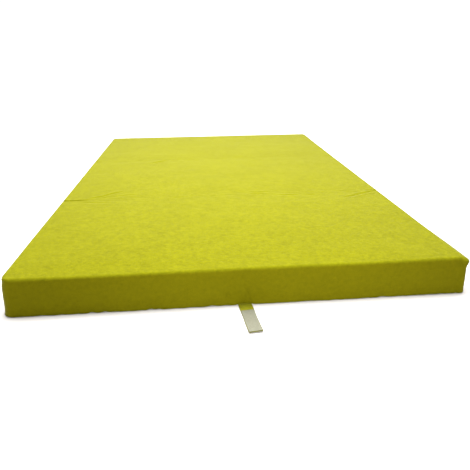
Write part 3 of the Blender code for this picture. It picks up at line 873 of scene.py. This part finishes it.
def base_cloth(p):
    """The cloth under a panel: a hemmed sheet with a hole for each drain eyelet."""
    inset = 0.0052
    gap = GAP_BASE + 0.0012
    r_out = CORNER_R - inset
    x1 = W / 2 - inset
    ya = p.low + (inset if p.free_low else gap)
    yb = p.high - (inset if p.free_high else gap)
    mid = (p.low + p.high) / 2
    block = 0.016
    hole = lambda c: np.linspace(c - block, c + block, 9)
    xs = np.concatenate([
        spaced(-x1, -HOLE_X - block, 0.009, 0.004, 0.024, 0), hole(-HOLE_X)[1:],
        spaced(-HOLE_X + block, HOLE_X - block, 0.009)[1:], hole(HOLE_X)[1:],
        spaced(HOLE_X + block, x1, 0.009, 0.004, 0, 0.024)[1:],
    ])
    ys = np.concatenate([spaced(ya, mid - block, 0.009, 0.004, 0.024, 0), hole(mid)[1:], spaced(mid + block, yb, 0.009, 0.004, 0, 0.024)[1:]])
    nx, ny = len(xs), len(ys)
    X, Y = np.meshgrid(xs, ys, indexing="ij")
    # Round the corners, spreading the change over the outer 24 mm.
    X, Y, _, _ = round_corners(X, Y, x1, ya, yb, (r_out, SHARP_R - inset) if p.free_low else (0.006, 0.006), SHARP_R - inset if p.free_high else 0.006)
    index = np.arange(nx * ny).reshape(nx, ny)
    keep = np.ones((nx - 1, ny - 1), bool)
    patches, extra = [], []
    count = nx * ny
    for cx in (-HOLE_X, HOLE_X):
        i0, i1 = np.argmin(np.abs(xs - (cx - block))), np.argmin(np.abs(xs - (cx + block)))
        j0, j1 = np.argmin(np.abs(ys - (mid - block))), np.argmin(np.abs(ys - (mid + block)))
        keep[i0:i1, j0:j1] = False
        around = (
            [(i, j0) for i in range(i0, i1)] + [(i1, j) for j in range(j0, j1)]
            + [(i, j1) for i in range(i1, i0, -1)] + [(i0, j) for j in range(j1, j0, -1)]
        )
        outer = np.array([index[i, j] for i, j in around])
        ox, oy = X.ravel()[outer], Y.ravel()[outer]
        ang = np.arctan2(oy - mid, ox - cx)
        last = outer
        for t in (0.3, 0.6, 0.85, 1.0):
            extra.append(np.stack([
                (1 - t) * ox + t * (cx + HOLE_R * np.cos(ang)),
                (1 - t) * oy + t * (mid + HOLE_R * np.sin(ang)),
            ], 1))
            now = count + np.arange(len(outer))
            count += len(outer)
            patches.append(ring_quads(last, now))
            last = now
        patches.append(("rim", last))
    XY = np.concatenate([np.stack([X.ravel(), Y.ravel()], 1)] + extra)
    grid = np.stack([index[:-1, :-1][keep], index[1:, :-1][keep], index[1:, 1:][keep], index[:-1, 1:][keep]], 1)
    faces = np.concatenate([grid] + [q for q in patches if not isinstance(q, tuple)])
    rims = [q[1] for q in patches if isinstance(q, tuple)]
    x, y = XY[:, 0], XY[:, 1]
    edge = np.minimum(np.minimum(x1 - np.abs(x), y - ya), yb - y)
    hem = step(0.0125, 0.0105, edge)
    slack = 0.5 + 0.5 * fbm(x * 9, y * 9 + 3, 3, 71) / 1.6
    at_hole = np.exp(-((np.minimum(np.hypot(x - HOLE_X, y - mid), np.hypot(x + HOLE_X, y - mid)) / 0.016) ** 4))
    z_low = 0.00010 + (0.00035 + 0.00045 * np.clip(slack, 0, 1)) * (1 - hem) * (1 - at_hole) + 0.00008 * np.clip(slack, 0, 1)
    z_high = np.maximum(z_low + 0.0008, 0.00150 - 0.0002 * (1 - hem))
    n = len(XY)
    low = np.column_stack([XY, z_low])
    high = np.column_stack([XY, z_high])
    ring = np.array([index[i, j] for i, j in border(nx, ny)])
    walls = [ring_quads(ring, ring + n)]
    for rim in rims:
        walls.append(ring_quads(rim + n, rim))
    parts = [(np.concatenate([low, high]), [faces[:, ::-1], faces + n] + walls, 0)]
    # Two rows of hem stitching, on the underside.
    bx, by = X.ravel()[ring], Y.ravel()[ring]
    cxm, cym = 0.0, mid
    tx, ty = np.roll(bx, -1) - np.roll(bx, 1), np.roll(by, -1) - np.roll(by, 1)
    size = np.hypot(tx, ty)
    inx, iny = -ty / size, tx / size
    for into in (0.0030, 0.0098):
        path = np.column_stack([bx + inx * into, by + iny * into, np.full(len(bx), 0.00012)])
        v, q, caps = stitches(path, (0, 0, -1), pitch=0.0040, length=0.0030, closed=True)
        parts.append((v, [q] + caps, 1))
    o = assemble(p.name + "_base_cloth", parts, [BASE_CLOTH, THREAD])
    crisp(o)
    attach(o, BODY[p.name])
    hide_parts(p.name + "_bottom_sheet")
    return o


# ------------------------------------------------------------ drain eyelets
def lathe(profile, cx, cy, segs=56):
    profile = np.asarray(profile, float)
    ang = np.linspace(0, 2 * math.pi, segs, endpoint=False)
    loops = np.stack([
        cx + profile[None, :, 0] * np.cos(ang)[:, None],
        cy + profile[None, :, 0] * np.sin(ang)[:, None],
        np.broadcast_to(profile[None, :, 1], (segs, len(profile))),
    ], -1)
    n = len(profile)
    index = np.arange(segs * n).reshape(segs, n)
    quads = [ring_quads(index[k], index[(k + 1) % segs]) for k in range(segs)]
    return loops.reshape(-1, 3), np.concatenate(quads)


def eyelet(p, side, cx):
    """A pressed eyelet: a tube with a rolled lip below and a domed flange inside."""
    mm = 0.001
    lip = [(5.6 + 1.15 * math.cos(a), 0.95 - 0.75 * math.sin(a)) for a in np.radians([180, 205, 230, 255, 280, 305, 330, 355])]
    prof = lip + [(7.1, 1.3), (7.15, 1.75), (10.4, 1.78), (10.9, 1.95), (11.0, 2.2), (10.7, 2.45), (10.0, 2.58), (8.0, 2.62), (6.2, 2.58), (5.2, 2.4), (4.62, 2.05), (4.48, 1.5)]
    v, q = lathe([(r * mm, z * mm) for r, z in prof], cx, (p.low + p.high) / 2)
    o = assemble(f"{p.name}_eyelet_{side}", [(v, [q], 0)], [EYELET])
    face_out(o)
    crisp(o, 50)
    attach(o, BODY[p.name])
    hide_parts(f"{p.name}_drain_grommet_{side}")


# -------------------------------------------------------------------- straps
def strap_xy(side, u, s):
    """Across and out along a strap to x and y. side is -1 in front, 1 at the rear."""
    c, sn = math.cos(STRAP_LEAN), math.sin(STRAP_LEAN)
    x = STRAP_X + u * c + s * sn
    y = -END + u * sn - s * c
    return (x, y) if side < 0 else (-x, -y)


def strap_rise(u, s):
    """The strap lies on the floor in slow waves, and its tip curls up a little."""
    flat = step(0.010, 0.030, s)
    wave = 0.00022 * (1 + np.sin(s * 62 + 0.7)) + 0.00012 * np.sin(s * 140 + u * 60)
    return flat * wave + 0.0030 * step(0.088, 0.140, s) ** 1.5 + 0.0003 * step(0.10, 0.138, s) * (u / 0.019)


def slab(side, s_values, half, z0, thick, half_at=None, across=13, plump=0.15):
    """A flat strip along the strap with rounded edges, as closed loops."""
    mm = np.linspace(-1, 1, across)
    edge_t = np.array([0.85, 0.5, 0.15])
    loops = []
    for s in s_values:
        h = half_at(s) if half_at else half
        u_top = mm * (h - thick * 0.35)
        crown = thick * plump * (1 - mm**4) * 0.3
        top = [(u, 1.0, c) for u, c in zip(u_top, crown)]
        right = [(h - thick * 0.35 * (1 - math.sin(math.pi * t)), t, 0) for t in edge_t]
        low = [(u, 0.0, 0) for u in u_top[::-1]]
        left = [(-(h - thick * 0.35 * (1 - math.sin(math.pi * t))), t, 0) for t in edge_t[::-1]]
        pts = []
        for u, t, c in top + right + low + left:
            x, y = strap_xy(side, u, s)
            pts.append((x, y, z0 + thick * t + c + strap_rise(u, s)))
        loops.append(pts)
    return np.array(loops)


def strap(side, body_strap, names, tape_material, hooked):
    tip, tip_r = 0.138, 0.0035
    s_values = np.concatenate([np.arange(-0.0040, 0.0120, 0.001), np.arange(0.0120, tip - tip_r, 0.0025), tip - tip_r * (1 - np.sin(np.linspace(0, math.pi / 2, 6)))])

    def half_at(s):
        if s <= tip - tip_r:
            return 0.0189 + 0.0002 * math.sin(s * 75)
        q = (s - (tip - tip_r)) / tip_r
        return 0.0190 - tip_r * (1 - math.sqrt(max(0.0, 1 - q * q)))

    v, q, caps = closed_sweep(slab(side, s_values, 0.019, 0.00010, 0.00135, half_at))
    parts = [(v, [q] + caps, 0)]
    for u in (-0.0172, 0.0172):
        ss = np.linspace(0.006, 0.032, 30)
        x, y = strap_xy(side, np.full(30, u), ss)
        v, q, caps = stitches(np.column_stack([x, y, 0.00150 + strap_rise(u, ss)]), (0, 0, 1))
        parts.append((v, [q] + caps, 1))
    o = assemble(names[0], parts, [STRAP_VELOUR_PAINTED_LIGHT, THREAD])
    face_out(o)
    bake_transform(o)
    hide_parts(("front" if side < 0 else "rear") + "_strap_webbing")

    # The tape sewn on top, with its field of hooks or loops and a border of stitches.
    t0, t1, half, z0, thick = 0.034, 0.1376, 0.0183, 0.00160, 0.00085
    s2 = np.concatenate([[t0, t0 + 0.0008], np.arange(t0 + 0.003, t1 - 0.002, 0.0025), [t1 - 0.0008, t1]])
    half_t = lambda s: half - (0.0007 if s in (t0, t1) else 0.0)
    v, q, caps = closed_sweep(slab(side, s2, half, z0, thick, half_t))
    parts = [(v, [q] + caps, 0)]
    us, ss = np.meshgrid(np.arange(-0.0152, 0.01521, 0.00127), np.arange(t0 + 0.0035, t1 - 0.0034, 0.0015), indexing="ij")
    us, ss = us.ravel(), ss.ravel()
    us = us + 0.00022 * _hash(np.round(us * 1e5), np.round(ss * 1e5), 5)
    ss = ss + 0.00022 * _hash(np.round(us * 1e5), np.round(ss * 1e5), 6)
    turn = math.pi * _hash(np.round(us * 1e5), np.round(ss * 1e5), 7) * (0.25 if hooked else 1.0)
    mm = 0.001
    if hooked:
        run = np.array([0, 0.02, 0.16, 0.40, 0.56]) * mm
        rise = np.array([-0.1, 0.35, 0.62, 0.66, 0.44]) * mm
        thin = np.array([0.13, 0.11, 0.10, 0.09, 0.05]) * mm
    else:
        run = np.array([-0.42, -0.30, 0, 0.30, 0.42]) * mm
        rise = np.array([-0.1, 0.36, 0.62, 0.36, -0.1]) * mm
        thin = np.array([0.09, 0.10, 0.11, 0.10, 0.09]) * mm
    uu = us[:, None] + run[None] * np.sin(turn)[:, None]
    sv = ss[:, None] + run[None] * np.cos(turn)[:, None]
    x, y = strap_xy(side, uu, sv)
    z = z0 + thick + rise[None] + strap_rise(uu, sv)
    v, q, caps = strands(np.stack([x, y, z], -1), thin, 4)
    parts.append((v, [q] + caps, 0))
    e = 0.0015
    corners = [(-half + e, t0 + e), (half - e, t0 + e), (half - e, t1 - e), (-half + e, t1 - e)]
    for (u0, a), (u1, b) in zip(corners, corners[1:] + corners[:1]):
        k = np.linspace(0, 1, 60)
        uu, sv = u0 + (u1 - u0) * k, a + (b - a) * k
        x, y = strap_xy(side, uu, sv)
        v, q, caps = stitches(np.column_stack([x, y, z0 + thick + strap_rise(uu, sv)]), (0, 0, 1), pitch=0.0028, length=0.0021)
        parts.append((v, [q] + caps, 1))
    t = assemble(names[1], parts, [tape_material, TAPE_THREAD, SELVEDGE])
    # The tape's woven border, outside the field of hooks or loops.
    c, sn = math.cos(STRAP_LEAN), math.sin(STRAP_LEAN)
    strip = len(parts[0][1][0]) + 2
    for f in t.data.polygons:
        if f.material_index == 0 and f.index < strip:
            x, y = (f.center.x, f.center.y) if side < 0 else (-f.center.x, -f.center.y)
            u, along = (x - STRAP_X) * c + (y + END) * sn, (x - STRAP_X) * sn - (y + END) * c
            if abs(u) > 0.0166 or along > t1 - 0.0016:
                f.material_index = 2
    face_out(t)
    crisp(t, 50)
    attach(t, body_strap)
    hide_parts(("front_strap_hook_tape" if side < 0 else "rear_strap_loop_tape"))


# ---------------------------------------------------------------------- zips
def half_gap(z):
    return GAP_BASE + (GAP_TOP - GAP_BASE) * z / T


def zip_on(p, face, side, z0):
    """A closed zip along a fold face: two woven tapes and two rows of coil teeth."""
    mm = 0.001

    def place(x, dz, out):
        x, dz, out = np.broadcast_arrays(np.asarray(x, float), dz, out)
        z = z0 + dz
        return np.stack([x, face + side * (out - half_gap(z)), z], -1)

    # Tapes: a thin strip above and one below, thicker along the corded inner edge.
    xs = np.arange(-0.560, 0.5601, 0.008)
    parts = []
    for up in (-1, 1):
        prof = [(14.0, 0.45), (13.8, 0.95), (13.2, 1.05), (9.0, 0.98), (5.0, 0.98), (3.2, 1.20), (1.6, 1.28), (0.25, 1.25), (0.12, 0.8), (0.25, 0.38), (3.0, 0.34), (9.0, 0.34), (13.6, 0.36)]
        dz = np.array([a for a, _ in prof]) * mm * up
        out = np.array([b for _, b in prof]) * mm
        wave = 0.00005 * np.sin(xs * 190)[:, None]
        loops = place(xs[:, None], dz[None], out[None] + wave * (out[None] > 0.0009))
        v, q, caps = closed_sweep(loops)
        parts.append((v, [q] + caps, 0))
        for at in (4.6, 12.2):
            k = np.linspace(-0.556, 0.556, 600)
            path = place(k, at * mm * up, 0.00102)
            v, q, caps = stitches(path, (0, side, 0), pitch=0.0034, length=0.0025, r=0.00016)
            parts.append((v, [q] + caps, 1))
    o = assemble(p.name + "_zip_tapes", parts, [ZIP_TAPE, THREAD])
    face_out(o)
    crisp(o, 50)
    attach(o, BODY[p.name])
    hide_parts(p.name + "_zip_tape")

    # Teeth: each is a bent wire from its own tape to just past the middle.
    parts = []
    pitch = 0.0023
    for up in (-1, 1):
        x = np.arange(-0.539 + (pitch / 2 if up > 0 else 0), 0.5395, pitch)
        dz = np.array([2.9, 2.6, 1.4, 0.2, -0.55, -0.75]) * mm * up
        out = np.array([1.75, 2.75, 3.15, 3.15, 2.85, 2.3]) * mm
        paths = place(x[:, None], dz[None], out[None])
        v, q, caps = strands(paths, np.array([0.42, 0.46, 0.44, 0.50, 0.60, 0.40]) * mm, 6)
        parts.append((v, [q] + caps, 0))
        # The cord that the coil is sewn round.
        xs2 = np.arange(-0.540, 0.5401, 0.006)
        core = place(xs2, 1.9 * mm * up, 2.05 * mm)
        v, q, caps = strands(core[None], np.full(len(xs2), 0.42 * mm), 8)
        parts.append((v, [q] + caps, 0))
    o = assemble(p.name + "_zip_coil", parts, [ZIP_COIL])
    face_out(o)
    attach(o, BODY[p.name])
    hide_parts(p.name + "_zip_chain")


for name in PANELS:
    base_cloth(PANEL[name])
    eyelet(PANEL[name], "left", -HOLE_X)
    eyelet(PANEL[name], "right", HOLE_X)
zip_on(PANEL["front"], -FOLD, 1, 0.040)
zip_on(PANEL["middle"], FOLD, 1, 0.030)
zip_on(PANEL["rear"], FOLD, -1, 0.072)
strap(-1, "front_strap", ("front_strap_band", "front_hook_tape"), HOOK, True)
strap(1, "rear_strap", ("rear_strap_band", "rear_loop_tape"), LOOP, False)

# The solid inner parts and the sliders keep their shapes.
for node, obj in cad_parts.items():
    look = (
        FOAM if node.endswith("foam_core") else FILM if node.endswith("vapour_wrap")
        else STEEL if node.endswith("edge_channel") else SLIDER if node.endswith("zip_slider") else None
    )
    if look:
        for s in obj.material_slots:
            s.material = look


# ------------------------------------------------------------ camera, lights
F_PX = 456.1
TILT, YAW, ROLL = math.radians(22.468), math.radians(5.163), math.radians(-0.440)
CAM = Vector((-0.1153, -2.0506, 0.6533))


def make_camera():
    cam = bpy.data.cameras.new("camera")
    cam.sensor_width = 36.0
    cam.lens = F_PX * 36.0 / 470.0
    cam.clip_start, cam.clip_end = 0.05, 60
    o = bpy.data.objects.new("camera", cam)
    bpy.context.scene.collection.objects.link(o)
    fwd = Vector((math.sin(YAW) * math.cos(TILT), math.cos(YAW) * math.cos(TILT), -math.sin(TILT)))
    right = Vector((math.cos(YAW), -math.sin(YAW), 0))
    up = right.cross(fwd)
    r2 = math.cos(ROLL) * right + math.sin(ROLL) * up
    u2 = -math.sin(ROLL) * right + math.cos(ROLL) * up
    m = Matrix((
        (r2.x, u2.x, -fwd.x, CAM.x),
        (r2.y, u2.y, -fwd.y, CAM.y),
        (r2.z, u2.z, -fwd.z, CAM.z),
        (0, 0, 0, 1),
    ))
    o.matrix_world = m
    bpy.context.scene.camera = o


make_camera()


def area_light(name, at, aim, size, power, colour=(1, 1, 1)):
    d = bpy.data.lights.new(name, "AREA")
    d.shape = "RECTANGLE"
    d.size, d.size_y = size
    d.energy = power
    d.color = colour
    o = bpy.data.objects.new(name, d)
    bpy.context.scene.collection.objects.link(o)
    o.location = at
    o.rotation_mode = "QUATERNION"
    o.rotation_quaternion = (Vector(aim) - Vector(at)).to_track_quat("-Z", "Y")
    o.visible_camera = False
    return o


area_light("back_softbox", (0.0, 1.0, 1.9), (0.0, 0.9, 0), (1.6, 0.8), 79)
area_light("front_softbox", (0.0, -0.62, 1.7), (0.0, -0.62, 0), (0.8, 0.8), 46)
area_light("middle_softbox", (-0.1, 0.15, 1.8), (-0.1, 0.15, 0), (0.8, 0.8), 21.5)
fill = bpy.data.lights.new("front_fill", "SPOT")
fill.energy = 56
fill.spot_size, fill.spot_blend, fill.shadow_soft_size = math.radians(56), 1.0, 0.15
o = bpy.data.objects.new("front_fill", fill)
bpy.context.scene.collection.objects.link(o)
o.location = (0.12, -2.20, 0.60)
o.rotation_mode = "QUATERNION"
o.rotation_quaternion = Vector((0, 1.225, -0.56)).to_track_quat("-Z", "Y")
o.visible_camera = False
sun = bpy.data.lights.new("overhead", "SUN")
sun.energy = 4.6
sun.angle = math.radians(50)
o = bpy.data.objects.new("overhead", sun)
bpy.context.scene.collection.objects.link(o)
o.rotation_mode = "QUATERNION"
o.rotation_quaternion = Vector((-0.05, -0.30, -1.0)).to_track_quat("-Z", "Y")

# White all round, a little brighter at the horizon.
world = bpy.data.worlds.new("studio")
bpy.context.scene.world = world
world.use_nodes = True
wt = world.node_tree
co = wt.nodes.new("ShaderNodeTexCoord")
sep = wt.nodes.new("ShaderNodeSeparateXYZ")
wt.links.new(co.outputs["Generated"], sep.inputs[0])
r = wt.nodes.new("ShaderNodeValToRGB")
r.color_ramp.elements[0].position, r.color_ramp.elements[0].color = 0.10, (1.05, 1.05, 1.05, 1)
r.color_ramp.elements[1].position, r.color_ramp.elements[1].color = 0.30, (1.0, 1.0, 1.0, 1)
wt.links.new(sep.outputs["Z"], r.inputs["Fac"])
wt.links.new(r.outputs["Color"], wt.nodes["Background"].inputs["Color"])
wt.nodes["Background"].inputs["Strength"].default_value = 1.0

m, nt, b = principled("studio_floor")
b.inputs["Base Color"].default_value = (0.52, 0.502, 0.490, 1)
b.inputs["Roughness"].default_value = 0.9
b.inputs["Specular IOR Level"].default_value = 0.0
floor = mesh_object("floor", [(-90, -90, -0.0006), (90, -90, -0.0006), (90, 90, -0.0006), (-90, 90, -0.0006)], [np.array([[0, 1, 2, 3]])], smooth=False)
floor.data.materials.append(m)

bpy.context.scene.view_settings.view_transform = "Standard"
bpy.context.scene.view_settings.look = "None"
